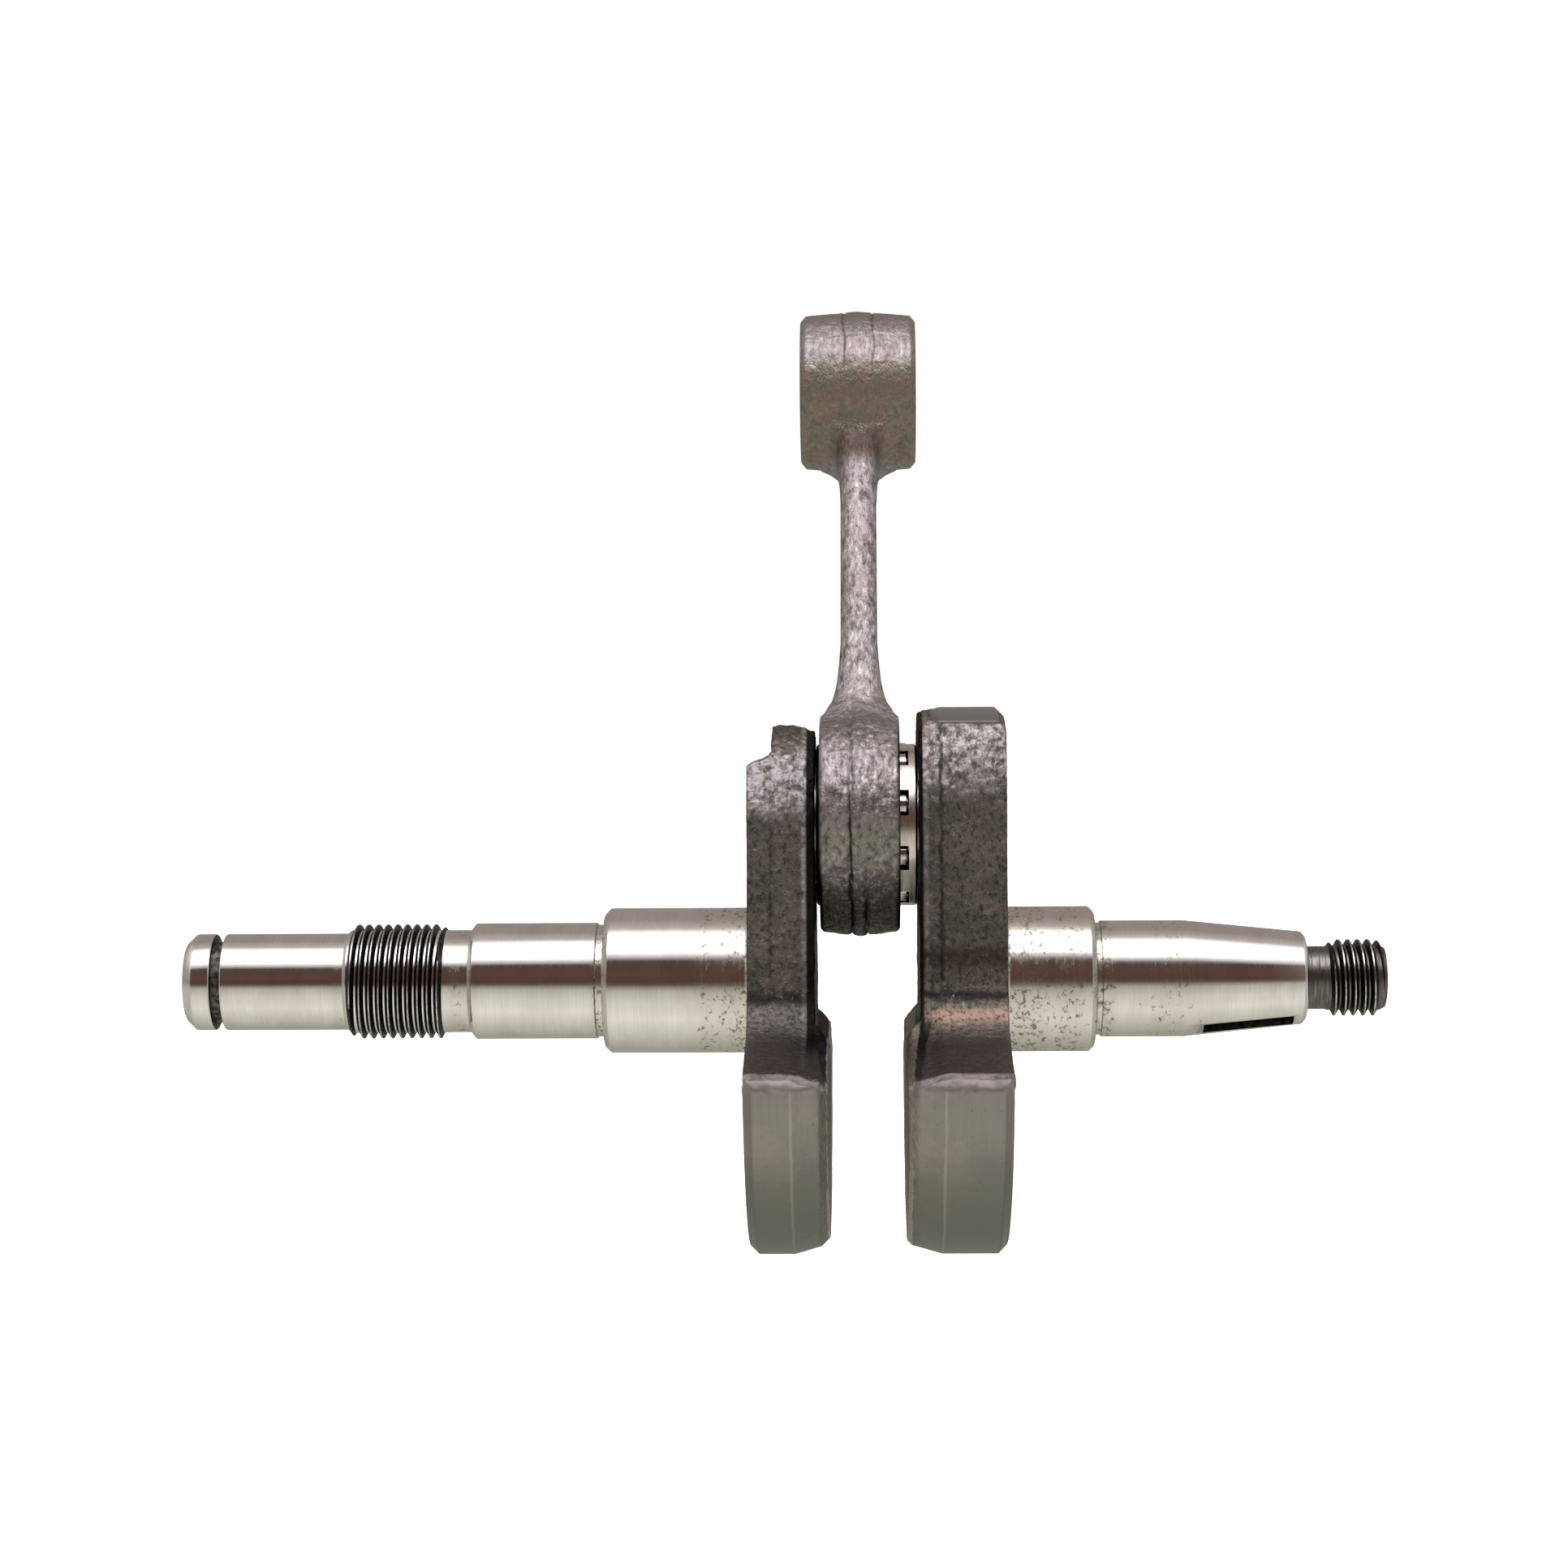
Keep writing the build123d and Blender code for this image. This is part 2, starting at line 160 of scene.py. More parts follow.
def thread_ridge(side, start, turns, crest, hand):
    """One helical ridge with flat worn crests, tapered away at both ends."""
    root = crest - THREAD_DEPTH - 0.12
    section = [(-0.49, root), (-0.11, crest - 0.05), (-0.06, crest)]
    section += [(0.06, crest), (0.11, crest - 0.05), (0.49, root)]
    steps = round(turns * THREAD_STEPS)
    vertices = []
    for step in range(steps + 1):
        turn = step / THREAD_STEPS
        angle = 2 * pi * turn * hand * side
        fade = min(1.0, turn / THREAD_FADE, (turns - turn) / THREAD_FADE)
        for along, radius in section:
            out = start + turn * THREAD_PITCH + along * max(fade, 0.02)
            high = root + (radius - root) * fade
            vertices.append((side * out, high * cos(angle), high * sin(angle)))
    size = len(section)
    faces = rings_to_faces(steps + 1, size)
    faces += [tuple(range(size)), tuple(range(steps * size, (steps + 1) * size))]
    return vertices, faces


def root_stations(side):
    """The inside end of a shaft, then the fillet between web and journal."""
    out = WEB_OUT[side]
    stations = [(out - 0.6, 0.0), (out - 0.6, MAIN_RADIUS + ROOT_FILLET)]
    for step in range(7):
        angle = radians(90 * step / 6)
        along = out + ROOT_FILLET * (1 - cos(angle))
        stations.append((along, MAIN_RADIUS + ROOT_FILLET * (1 - sin(angle))))
    return stations


def centre_hole(tip, radius):
    """Stations of a turner's centre: a 60 degree cone and its pilot hole."""
    pilot = radius / 2
    depth = (radius - pilot) * sqrt(3)
    return [(tip, radius), (tip - depth, pilot), (tip - depth - 2.2, pilot), (tip - depth - 2.6, 0)]


def clutch_shaft_stations():
    """Journal, undercut, seal seat, thread core, sprocket seat with ring groove, and the tip."""
    core = CLUTCH_THREAD["crest"] - THREAD_DEPTH
    start, turns = CLUTCH_THREAD["start"], CLUTCH_THREAD["turns"]
    stations = root_stations(-1) + [(26.35, 7.5), (26.5, 7.47), (27.0, 6.97), (27.1, 6.8)]
    stations += [(27.1, 5.8), (27.8, 5.8), (27.95, SEAT_RADIUS), (40.35, SEAT_RADIUS)]
    stations += [(40.5, 5.96), (40.8, 5.6), (41.0, 5.3), (start - 0.3, 5.3), (start - 0.1, core)]
    stations += [(start + turns, core), (start + turns + 0.35, SPROCKET_RADIUS)]
    groove_start, groove_end = RING_GROOVE
    stations += [(66.4, SPROCKET_RADIUS), (groove_start, 4.93), (groove_start, 4.2)]
    stations += [(groove_end, 4.2), (groove_end, 4.93)]
    stations += [(67.7, SPROCKET_RADIUS), (69.4, SPROCKET_RADIUS), (69.6, 4.94), (70.42, 4.14)]
    return stations + [(70.5, 4.0)] + centre_hole(70.5, 1.6)


def flywheel_shaft_stations():
    """Journal, undercut, seal seat, 1:5 taper, neck, thread core, and the tip."""
    core = NUT_THREAD["crest"] - THREAD_DEPTH
    start = NUT_THREAD["start"]
    tip = SEAT_RADIUS - TAPER_SLOPE * (TAPER_END - TAPER_START)
    stations = root_stations(1) + [(22.65, 7.5), (22.8, 7.46), (23.22, 7.03), (23.3, 6.9)]
    stations += [(23.5, 5.8), (23.9, 5.8), (24.0, SEAT_RADIUS), (TAPER_START, SEAT_RADIUS)]
    stations += [(TAPER_END - 0.45, tip + 0.045), (TAPER_END - 0.3, tip - 0.02)]
    stations += [(TAPER_END, tip - 0.4), (TAPER_END, 3.4), (45.15, NECK_RADIUS)]
    stations += [(start - 0.2, NECK_RADIUS), (start, core), (52.7, core), (53.2, 3.1)]
    return stations + centre_hole(53.2, 1.25)


def cut_keyway(piece):
    """Cuts the straight slot whose floor runs parallel to the taper."""
    surface = SEAT_RADIUS - TAPER_SLOPE * (KEY_MIDDLE - TAPER_START)
    along = Vector((1, 0, 0)) - TAPER_SLOPE * KEY_DIRECTION
    along.normalize()
    across = KEY_DIRECTION.cross(along).normalized()
    up = along.cross(across)
    if up.dot(KEY_DIRECTION) < 0:
        up = -up
    floor = Vector((KEY_MIDDLE, 0, 0)) + KEY_DIRECTION * (surface - KEY_DEPTH)
    corners = []
    for a in (-KEY_LENGTH / 2, KEY_LENGTH / 2):
        for b in (-KEY_WIDTH / 2, KEY_WIDTH / 2):
            for c in (0, 4):
                corners.append(floor + along * a + across * b + up * c)
    quads = [(0, 1, 3, 2), (4, 6, 7, 5), (0, 4, 5, 1), (2, 3, 7, 6), (0, 2, 6, 4), (1, 5, 7, 3)]
    cutter = make_piece("keyway_cutter", corners, quads)
    cut = piece.modifiers.new("keyway", "BOOLEAN")
    cut.operation, cut.solver, cut.object = "DIFFERENCE", "EXACT", cutter
    apply_modifiers(piece)
    bpy.data.objects.remove(cutter)


def mark_ring(piece, start, end, radius, index):
    """Gives the faces between two distances out, within a radius, the material of that index."""
    for face in piece.data.polygons:
        x, y, z = face.center / MM
        if start < abs(x) < end and hypot(y, z) < radius:
            face.material_index = index


def mark_keyway(piece, index):
    """Gives the slot's walls and floor the material of that index."""
    for face in piece.data.polygons:
        x, y, z = face.center / MM
        surface = SEAT_RADIUS - TAPER_SLOPE * (x - TAPER_START)
        inside = abs(x - KEY_MIDDLE) < KEY_LENGTH / 2 + 0.1
        if inside and hypot(y, z) < surface - 0.05:
            face.material_index = index


def mark_bores(piece, index):
    """Gives the walls of both bores of the rod the material of that index."""
    for face in piece.data.polygons:
        offset = face.center / MM - PIN_CENTRE
        along, across = offset.dot(ROD_AXIS), offset.dot(ROD_SIDE)
        from_big, from_small = hypot(along, across), hypot(along - ROD_LENGTH, across)
        if from_big < BIG_BORE_FACES or from_small < SMALL_BORE_FACES:
            face.material_index = index


# ---------------------------------------------------------------- forged pieces


def remeshed(node, web_side=None):
    """A dense even mesh on a CAD node's surface; with web_side, of the web alone."""
    body = bmesh.new()
    body.from_mesh(frame["nodes"][node].data)
    bmesh.ops.remove_doubles(body, verts=body.verts, dist=1e-7)
    if web_side:
        plane = Vector((web_side * WEB_OUT[web_side], 0, 0)) * MM
        everything = body.verts[:] + body.edges[:] + body.faces[:]
        bmesh.ops.bisect_plane(
            body, geom=everything, dist=1e-7, plane_co=plane + Vector((web_side * 2e-6, 0, 0)),
            plane_no=(web_side, 0, 0), clear_outer=True,
        )
        bmesh.ops.holes_fill(body, edges=[e for e in body.edges if e.is_boundary])
    target_mesh = bpy.data.meshes.new(node + "_target")
    body.to_mesh(target_mesh)
    body.free()
    target = bpy.data.objects.new(node + "_target", target_mesh)
    piece = bpy.data.objects.new(node + "_dense", target_mesh.copy())
    for thing in (target, piece):
        bpy.context.scene.collection.objects.link(thing)
    remesh = piece.modifiers.new("even", "REMESH")
    remesh.mode, remesh.voxel_size = "VOXEL", VOXEL * MM
    wrap = piece.modifiers.new("wrap", "SHRINKWRAP")
    wrap.target, wrap.wrap_method = target, "NEAREST_SURFACEPOINT"
    apply_modifiers(piece)
    bpy.data.objects.remove(target)
    return piece


def ramp(value, low, high):
    """0 at low, 1 at high, smooth between and level beyond; low may be the larger."""
    t = min(1.0, max(0.0, (value - low) / (high - low)))
    return t * t * (3 - 2 * t)


def bell(value, middle, width):
    """1 at the middle, falling to about a third at width away from it."""
    return exp(-(((value - middle) / width) ** 2))


def fbm(point, scale, octaves=3):
    """Fractal noise about 0."""
    return noise.fractal(point * scale, 1.0, 2.0, octaves)


def carve(piece, move):
    """Moves each vertex by the vector move(point, normal), all in millimetres."""
    mesh = piece.data
    points = [v.co / MM for v in mesh.vertices]
    normals = [v.normal.copy() for v in mesh.vertices]
    for vertex, point, normal in zip(mesh.vertices, points, normals):
        vertex.co = (point + move(point, normal)) * MM
    mesh.update()


def web_skin(side):
    """The forged skin of a web: dents, pits and the torn flash line; turned places stay smooth."""
    outer = WEB_OUT[side]

    def move(p, n):
        out = side * p.x
        radius = hypot(p.y, p.z)
        from_pin = hypot(p.y, p.z - PIN_HEIGHT)
        forged = 1 - ramp(radius, WEB_RADIUS - 1.2, WEB_RADIUS - 0.4) * ramp(out, 6.4, 7.2)
        forged = max(forged, 0.7 * bell(p.z, HORN_HEIGHT, 1.1) * ramp(radius, 25.0, 26.5))
        forged *= ramp(from_pin, 6.3, 7.6)
        if out > outer - 0.4:
            forged *= 0.35 * ramp(radius, TURNED_FACE_RADIUS, TURNED_FACE_RADIUS + 1.3)
        forged *= 1 - 0.6 * ramp(p.z, -8.5, -11.0)
        wall = ramp(abs(n.y) + abs(n.z), 0.5, 0.8) * forged
        high = ramp(p.z, 17.0, 21.5) if side > 0 else ramp(p.z, 15.0, 18.5)
        ridges = 1 - abs(2.4 * noise.noise(p * 1.2))
        skin = 0.07 * fbm(p, 0.33) + (0.035 + 0.03 * high) * fbm(p, 1.5) + 0.06 * high * ridges
        pit = ramp(noise.noise(p * 1.9), 0.26, 0.5) * (0.25 + 0.75 * high)
        seam = parting_out(side, p.z) + 0.3 * fbm(p, 0.4) + 0.15 * fbm(p, 1.7)
        flash = 0.09 * bell(out, seam + 0.3, 0.3) - 0.2 * bell(out, seam - 0.1, 0.17)
        flash *= 0.5 if side < 0 else 1.0
        flash *= ramp(p.z, -3.0, 2.0) * ramp(noise.noise(p * 0.31), -0.35, 0.1)
        lip = 0.10 * bell(out, INNER_EDGE[side] + 0.12, 0.2) * (1 + 1.2 * fbm(p, 0.9))
        torn = 0.10 * fbm(Vector((out * 1.3, p.y * 1.6, p.z * 0.55)), 1.0) * high
        horn = 0.13 * fbm(p, 1.0) * bell(p.z, HORN_HEIGHT, 1.2) * ramp(radius, 25.0, 26.5)
        edges = wall * (flash + torn + lip * ramp(p.z, -4, 2))
        return n * (forged * (skin - 0.13 * pit) + edges + horn)

    return move


def parting_out(side, z):
    """Where the parting line lies: it steps outboard along the clutch-side cheek."""
    if side > 0:
        return PARTING_OUT
    return PARTING_OUT + 2.2 * ramp(z, -5.5, 0.5)


def rod_skin(p, n):
    """The forged skin of the rod: crumpled high on the eyes, finer elsewhere, creased on both."""
    offset = p - PIN_CENTRE
    along, across = offset.dot(ROD_AXIS), offset.dot(ROD_SIDE)
    x = p.x - PIN_CENTRE.x
    from_big = hypot(along, across)
    from_small = hypot(along - ROD_LENGTH, across)
    if from_big < BIG_BORE_LAND or from_small < SMALL_BORE_LAND:
        return Vector()
    local = Vector((x, across, along))
    on_big, on_small = ramp(from_big, *BIG_EYE_REACH), ramp(from_small, *SMALL_EYE_REACH)
    facing = ramp(1 - abs(n.x), 0.25, 0.6)
    between = (1 - on_big) * (1 - on_small)
    off_middle = max(0.0, abs(x) / blade_half(from_big, from_small) - 0.3) / 0.75
    depth = 6.0 - (along - 10) / 32 - abs(across)
    crown = 0.8 * min(1.0, off_middle) ** 2 * ramp(depth, 2.6, 0.7) * between
    inward = ROD_SIDE * (-crown if across > 0 else crown)
    upper = 0.2 + 0.8 * ramp(n.z, -0.05, 0.35) + 0.5 * ramp(n.z, -0.5, -0.8) * on_big
    crumple = 0.07 * fbm(local, 0.8, 4) + 0.04 * (1 - abs(2.2 * noise.noise(local * 1.6)))
    crumple += 0.03 * fbm(local, 2.3, 3)
    streaks = 0.04 * fbm(Vector((x * 2.6, across * 2.6, along * 0.8)), 1.0)
    wander = 0.22 * noise.noise(Vector((along * 0.35, across * 0.35, 3.0)))
    left = -0.32 * bell(x, LEFT_CREASE + wander, 0.17) * on_big
    right = -0.26 * bell(x, RIGHT_CREASE + wander, 0.17) * on_big
    right *= 0.25 + 0.75 * ramp(-n.z, 0.3, 0.6)
    creases = bell(x, -SMALL_END_CREASE + wander, 0.13)
    creases += 0.8 * bell(x, SMALL_END_CREASE + wander, 0.12)
    creases *= -0.2 * on_small * ramp(n.z, 0.25, 0.5)
    upper *= 1 - on_small * (0.45 + 0.35 * ramp(n.z, 0.15, -0.05))
    skin = crumple * upper * (0.45 + 0.55 * max(on_big, on_small)) + streaks * (1 - on_small)
    return n * (facing * (skin - 0.04 + left + right + creases)) + inward


def blade_half(from_big, from_small):
    """Half thickness of the rod's blade, which widens towards both eyes."""
    return 1.92 + 2.2 * exp((11.2 - from_big) / 2.2) + 2.7 * exp((8.85 - from_small) / 0.55)


# ---------------------------------------------------------------- materials


def add(tree, kind, inputs=None, **settings):
    """Adds a node; an input's value is a number or tuple, or a socket to link from."""
    node = tree.nodes.new(kind)
    for name, value in settings.items():
        setattr(node, name, value)
    for name, value in (inputs or {}).items():
        if isinstance(value, bpy.types.NodeSocket):
            tree.links.new(value, node.inputs[name])
        else:
            node.inputs[name].default_value = value
    return node


def new_material(name, base_color, roughness, metallic=1.0):
    """A material with its shader, its tree, and object coordinates in millimetres."""
    material = bpy.data.materials.new(name)
    material.use_nodes = True
    tree = material.node_tree
    shader = tree.nodes["Principled BSDF"]
    shader.inputs["Base Color"].default_value = (*base_color, 1)
    shader.inputs["Roughness"].default_value = roughness
    shader.inputs["Metallic"].default_value = metallic
    place = add(tree, "ShaderNodeTexCoord").outputs["Object"]
    point = add(tree, "ShaderNodeVectorMath", {0: place, "Scale": 1 / MM}, operation="SCALE")
    return material, tree, shader, point.outputs["Vector"]


def math_node(tree, operation, a, b=0.0, c=0.0, clamp=False):
    """The value of a maths node; like the helpers below, it takes numbers or sockets."""
    node = add(tree, "ShaderNodeMath", {0: a, 1: b, 2: c}, operation=operation, use_clamp=clamp)
    return node.outputs[0]


def times(tree, a, b, clamp=False):
    return math_node(tree, "MULTIPLY", a, b, clamp=clamp)


def minus(tree, a, b):
    return math_node(tree, "SUBTRACT", a, b)


def plus(tree, base, value, factor):
    """The base plus the factor times the value."""
    return math_node(tree, "MULTIPLY_ADD", value, factor, base)


def wobbled(tree, value, noise_field, amount):
    """The value shifted by a noise of mean 0.5, so by half the amount each way at most."""
    return plus(tree, minus(tree, value, amount / 2), noise_field, amount)


def distance(tree, a, b):
    return math_node(tree, "ABSOLUTE", minus(tree, a, b))


def stretched(tree, point, scale):
    return add(tree, "ShaderNodeVectorMath", {0: point, 1: scale}, operation="MULTIPLY").outputs[0]


def noise_value(tree, point, scale, detail=4.0, rough=0.55, distortion=0.0):
    """A cloudy noise between 0 and 1, its mean about 0.5; scale is per millimetre."""
    inputs = {"Vector": point, "Scale": scale, "Detail": detail, "Roughness": rough}
    inputs["Distortion"] = distortion
    return add(tree, "ShaderNodeTexNoise", inputs).outputs["Fac"]


def curve_value(tree, value, low, high, to_low=0.0, to_high=1.0):
    """Smoothly maps a value from low..high to to_low..to_high, and level beyond."""
    inputs = {"Value": value, "From Min": low, "From Max": high}
    inputs.update({"To Min": to_low, "To Max": to_high})
    node = add(tree, "ShaderNodeMapRange", inputs, interpolation_type="SMOOTHSTEP")
    return node.outputs["Result"]


def mixed(tree, factor, a, b):
    """Colour a at factor 0, colour b at factor 1."""
    node = add(tree, "ShaderNodeMix", {0: factor}, data_type="RGBA")
    for index, value in ((6, a), (7, b)):
        if isinstance(value, bpy.types.NodeSocket):
            tree.links.new(value, node.inputs[index])
        else:
            node.inputs[index].default_value = (*value, 1)
    return node.outputs[2]


def bump(tree, shader, height, strength, depth):
    """Finer relief than the mesh carries, by a height field of that depth."""
    inputs = {"Height": height, "Strength": strength, "Distance": depth * MM}
    node = add(tree, "ShaderNodeBump", inputs)
    tree.links.new(node.outputs["Normal"], shader.inputs["Normal"])


def separate(tree, point):
    node = add(tree, "ShaderNodeSeparateXYZ", {0: point})
    return node.outputs[0], node.outputs[1], node.outputs[2]


def length_of(tree, vector):
    return add(tree, "ShaderNodeVectorMath", {0: vector}, operation="LENGTH").outputs["Value"]


def axis_radius(tree, point):
    """Distance from the main axis."""
    return length_of(tree, stretched(tree, point, (0, 1, 1)))


def near(tree, value, middle, width):
    """1 at the middle, falling smoothly to 0 at width away from it."""
    return curve_value(tree, distance(tree, value, middle), width, 0.0)


def largest(tree, values):
    result = values[0]
    for value in values[1:]:
        result = math_node(tree, "MAXIMUM", result, value)
    return result


def ground_steel(name, stain_places):
    """Ground bright steel with fine rings, faint tarnish, and olive specks about the stain places.

    A stain place is its x, its reach and its strength.
    """
    material, tree, shader, point = new_material(name, (0.8, 0.78, 0.765), 0.12)
    x, _, _ = separate(tree, point)
    rings = noise_value(tree, stretched(tree, point, (7.0, 0.10, 0.10)), 1.0, 5.0, 0.65)
    cloud = noise_value(tree, stretched(tree, point, (0.5, 0.22, 0.22)), 1.0, 3.0)
    spots = noise_value(tree, stretched(tree, point, (1.0, 0.8, 0.8)), 2.0, 7.0, 0.68, 0.5)
    reach = largest(tree, [
        times(tree, near(tree, x, place, width), amount) for place, width, amount in stain_places
    ])
    threshold = curve_value(tree, reach, 0.0, 1.0, 0.76, 0.52)
    stained = curve_value(tree, minus(tree, spots, threshold), 0.0, 0.08, 0.0, 0.8)
    cloudy = curve_value(tree, cloud, 0.35, 0.7)
    ringed = curve_value(tree, rings, 0.42, 0.62, 0.0, 0.35)
    colour = mixed(tree, cloudy, (0.78, 0.765, 0.75), (0.70, 0.68, 0.655))
    colour = mixed(tree, ringed, colour, (0.66, 0.63, 0.60))
    colour = mixed(tree, times(tree, reach, 0.55), colour, (0.62, 0.59, 0.52))
    colour = mixed(tree, stained, colour, (0.17, 0.145, 0.11))
    tree.links.new(colour, shader.inputs["Base Color"])
    rough = curve_value(tree, rings, 0.3, 0.75, 0.07, 0.16)
    rough = plus(tree, rough, reach, 0.07)
    rough = plus(tree, rough, stained, 0.30)
    tree.links.new(rough, shader.inputs["Roughness"])
    bump(tree, shader, rings, 0.05, 0.02)
    return material


def shaded_oily_thread(name, crest):
    """Thread flanks with oil on them, painted near black as shade in the grooves, with bright crests scuffed to
    bare steel.
    """
    material, tree, shader, point = new_material(name, (0.10, 0.09, 0.085), 0.3)
    wear_and_sheen = noise_value(tree, point, 1.6, 3.0)
    edge = plus(tree, crest + 0.035, wear_and_sheen, -0.08)
    bright = minus(tree, axis_radius(tree, point), edge)
    bright = curve_value(tree, bright, -0.04, 0.02)
    grime_and_shade = curve_value(tree, noise_value(tree, point, 2.3, 4.0), 0.35, 0.7)
    # Painted shade: the flanks are near black, mottled by noise.
    dark = mixed(tree, grime_and_shade, (0.012, 0.011, 0.0105), (0.05, 0.046, 0.043))
    colour = mixed(tree, bright, dark, (0.60, 0.59, 0.58))
    tree.links.new(colour, shader.inputs["Base Color"])
    tree.links.new(curve_value(tree, bright, 0.0, 1.0, 0.42, 0.16), shader.inputs["Roughness"])
    return material


def recess_shade(name, light):
    """Painted shade in a recess, over steel with oil on it: from the light colour down to a fifth of it."""
    material, tree, shader, point = new_material(name, (0.05, 0.045, 0.042), 0.5)
    grime_and_shade = curve_value(tree, noise_value(tree, point, 1.8, 4.0), 0.35, 0.7)
    colour = mixed(tree, grime_and_shade, tuple(part * 0.2 for part in light), light)
    tree.links.new(colour, shader.inputs["Base Color"])
    return material


# The webs' materials, by side. Each waist band paints a reflection across the fillet at the waist, a highlight or
# a dark band, and is given as its height, half width, strength and colour.
WAIST_REFLECTION_BANDS = {
    -1: [
        (-1.2, 1.3, 0.85, (0.02, 0.017, 0.016)),
        (-3.4, 1.3, 0.65, (0.15, 0.13, 0.15)),
    ],
    1: [
        (2.8, 1.7, 0.85, (0.05, 0.038, 0.03)),
        (0.7, 1.1, 0.6, (0.13, 0.115, 0.08)),
        (-0.9, 0.9, 0.9, (0.02, 0.017, 0.016)),
        (-2.9, 1.3, 0.9, (0.42, 0.285, 0.225)),
    ],
}
# Painted highlight high on each cheek: the heights it spans and its colour, by side.
CHEEK_HIGHLIGHT_HEIGHTS = {-1: (17.2, 23.4), 1: (20.2, 26.0)}
CHEEK_HIGHLIGHT_COLOUR = {-1: (0.44, 0.395, 0.42), 1: (0.52, 0.465, 0.485)}
LIP_STRENGTH = {-1: 0.9, 1: 0.35}
SEAM_STRENGTH = {-1: 0.35, 1: 0.8}
# Where the counterweight's inner pad and the painted shadow line beside it end, at heights -2 and -10
PAD_EDGE = {-1: (4.2, 4.1), 1: (5.4, 4.4)}
SHADOW_LINE_EDGE = {-1: (5.6, 4.3), 1: (6.5, 4.9)}
# The pad's cream is painted light on its drafted face.
PAD_LIT_COLOUR = {-1: (0.50, 0.47, 0.41), 1: (0.42, 0.39, 0.32)}


def web_scale(tree, side, z, blotch, grain, wander):
    """The dark scale of a forged web, with the painted reflection bands of its waist and the painted shade of its
    shoulder.
    """
    patchy = curve_value(tree, blotch, 0.35, 0.68)
    scale = mixed(tree, patchy, (0.108, 0.114, 0.095), (0.19, 0.152, 0.138))
    level = wobbled(tree, z, wander, 1.2)
    # Painted reflections: highlight and dark bands across the waist's fillet, placed by height.
    for middle, width, amount, tint in WAIST_REFLECTION_BANDS[side]:
        band = times(tree, near(tree, level, middle, width), amount)
        scale = mixed(tree, band, scale, tint)
    dark = curve_value(tree, grain, 0.47, 0.66, 0.0, 0.85)
    light = curve_value(tree, grain, 0.42, 0.30, 0.0, 0.5)
    scale = mixed(tree, dark, scale, (0.045, 0.04, 0.036))
    scale = mixed(tree, light, scale, (0.32, 0.285, 0.26))
    # Painted shade: the shoulder is made smooth and dark purple-brown.
    shoulder = curve_value(tree, z, -4.6, -5.6)
    shoulder = times(tree, shoulder, curve_value(tree, z, -8.6, -7.6, 0.0, 0.85))
    return mixed(tree, shoulder, scale, (0.08, 0.064, 0.064))


def web_cheek_highlight(tree, side, point, out, z, wander):
    """How strong the painted highlight is: high on the cheek in clumps, and along its inner lip."""
    low_edge, top_edge = CHEEK_HIGHLIGHT_HEIGHTS[side]
    height = wobbled(tree, z, wander, 8.0)
    patch = curve_value(tree, height, low_edge - 1.9, low_edge + 1.9)
    patch = times(tree, patch, curve_value(tree, height, top_edge + 1.2, top_edge - 0.6))
    clumps = noise_value(tree, stretched(tree, point, (1.0, 1.0, 0.62)), 1.25, 6.0, 0.72, 0.4)
    patch = times(tree, patch, curve_value(tree, clumps, 0.60, 0.42, 0.08, 1.0))
    lip = near(tree, out, INNER_EDGE[side] + 0.15, 0.45)
    lip = times(tree, lip, curve_value(tree, z, -3.0, 10.0, 0.15, 0.9))
    lip = times(tree, lip, curve_value(tree, wander, 0.36, 0.56))
    return largest(tree, [patch, times(tree, lip, LIP_STRENGTH[side])])


def web_seam(tree, side, out, z, blotch, wander):
    """The dark parting seam along the cheek."""
    parting = curve_value(tree, z, -5.5, 0.5, PARTING_OUT, parting_out(side, 9.0))
    gap = distance(tree, wobbled(tree, out, wander, 1.2), parting)
    seam = curve_value(tree, gap, 0.32, 0.04, 0.0, SEAM_STRENGTH[side])
    seam = times(tree, seam, curve_value(tree, z, -1.5, 1.5))
    return times(tree, seam, curve_value(tree, blotch, 0.36, 0.56, 0.25, 1.0))


def web_satin(tree, point, out, z, grain):
    """The turned rim: fine lines, stains, darker low down, with the worn parting line."""
    lines = noise_value(tree, stretched(tree, point, (4.0, 0.12, 0.12)), 1.0, 4.0, 0.6)
    stain = noise_value(tree, point, 0.2, 5.0, 0.6)
    lined = curve_value(tree, lines, 0.3, 0.7)
    satin = mixed(tree, lined, (0.262, 0.255, 0.234), (0.246, 0.237, 0.217))
    warm = curve_value(tree, stain, 0.46, 0.58, 0.0, 0.7)
    satin = mixed(tree, warm, satin, (0.30, 0.262, 0.24))
    low = curve_value(tree, plus(tree, z, stain, 9.0), -9.0, -15.0, 0.0, 0.75)
    satin = mixed(tree, low, satin, (0.185, 0.19, 0.168))
    high = curve_value(tree, z, 12.0, 18.0, 0.0, 0.8)
    satin = mixed(tree, high, satin, (0.33, 0.31, 0.31))
    dirt = curve_value(tree, grain, 0.60, 0.72, 0.0, 0.5)
    satin = mixed(tree, dirt, satin, (0.12, 0.11, 0.095))
    line = distance(tree, wobbled(tree, out, stain, 0.5), PARTING_OUT)
    line = curve_value(tree, line, 0.2, 0.05, 0.0, 0.45)
    return mixed(tree, line, satin, (0.42, 0.40, 0.38))


def pad_and_shadow_line(tree, side, out, z, wander):
    """Masks of the counterweight's inner pad and of the painted shadow line along its edge."""
    ragged = wobbled(tree, out, wander, 0.6)
    pad = minus(tree, curve_value(tree, z, -2.0, -10.0, *PAD_EDGE[side]), ragged)
    pad = curve_value(tree, pad, -0.05, 0.1)
    pad = times(tree, pad, curve_value(tree, z, -3.0, -4.4))
    shadow_line = minus(tree, curve_value(tree, z, -2.0, -10.0, *SHADOW_LINE_EDGE[side]), ragged)
    shadow_line = curve_value(tree, shadow_line, -0.1, 0.12)
    shadow_line = times(tree, shadow_line, curve_value(tree, pad, 1.0, 0.0))
    return pad, times(tree, shadow_line, near(tree, z, -5.6, 5.2))


